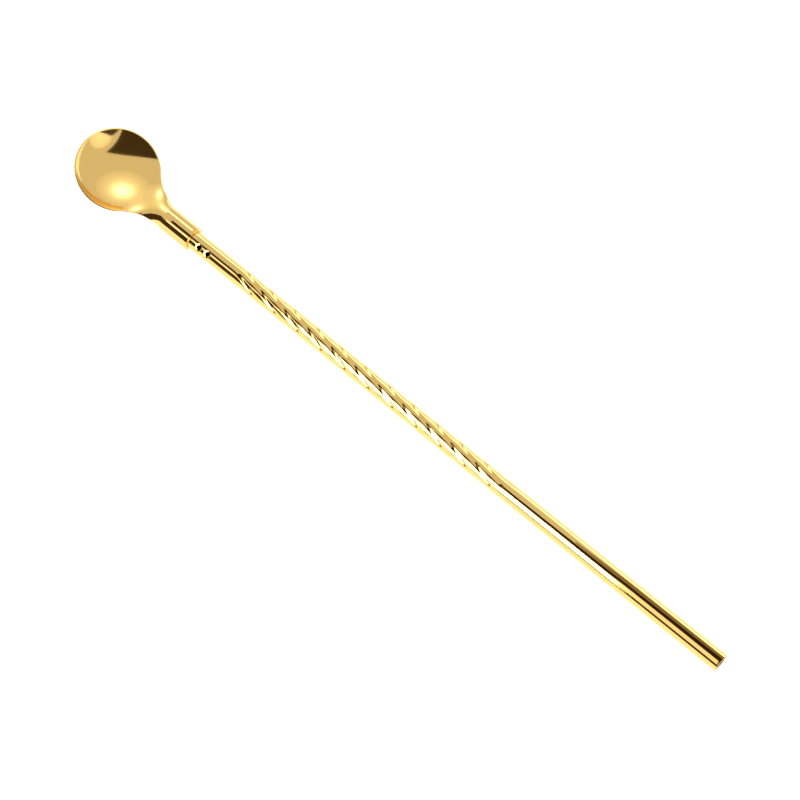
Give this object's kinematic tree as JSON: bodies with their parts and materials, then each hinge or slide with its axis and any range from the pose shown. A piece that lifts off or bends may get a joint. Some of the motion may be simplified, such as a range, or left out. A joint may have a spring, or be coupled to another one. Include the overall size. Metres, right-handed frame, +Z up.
{
  "type": "bar spoon",
  "caption": "Gold-coloured metal bar spoon with a round bowl on a push-on socket and a twisted hollow stem that also works as a drinking straw.",
  "frame": {"origin": "middle of the spoon's length, on the plane under the socket, below the stem's axis", "axes": "+X along the stem from the spoon head to the open end, +Z up out of the bowl"},
  "size_m": [0.2562, 0.0282, 0.0152],
  "materials": {
    "bowl_gold": "mirror-polished gold-coloured plating on pressed stainless sheet",
    "socket_gold": "mirror-polished gold-coloured plating on a turned stainless sleeve",
    "stem_gold": "mirror-polished gold-coloured plating on stainless tube"
  },
  "bodies": {
    "stem": {"stem_tube": "stem_gold"},
    "head": {"spoon_bowl": "bowl_gold", "socket": "socket_gold"}
  },
  "joints": [
    {"name": "head_pull_off", "type": "slide", "parent": "stem", "child": "head", "axis": [-1, 0, 0], "range_m": [0, 0.02]}
  ]
}
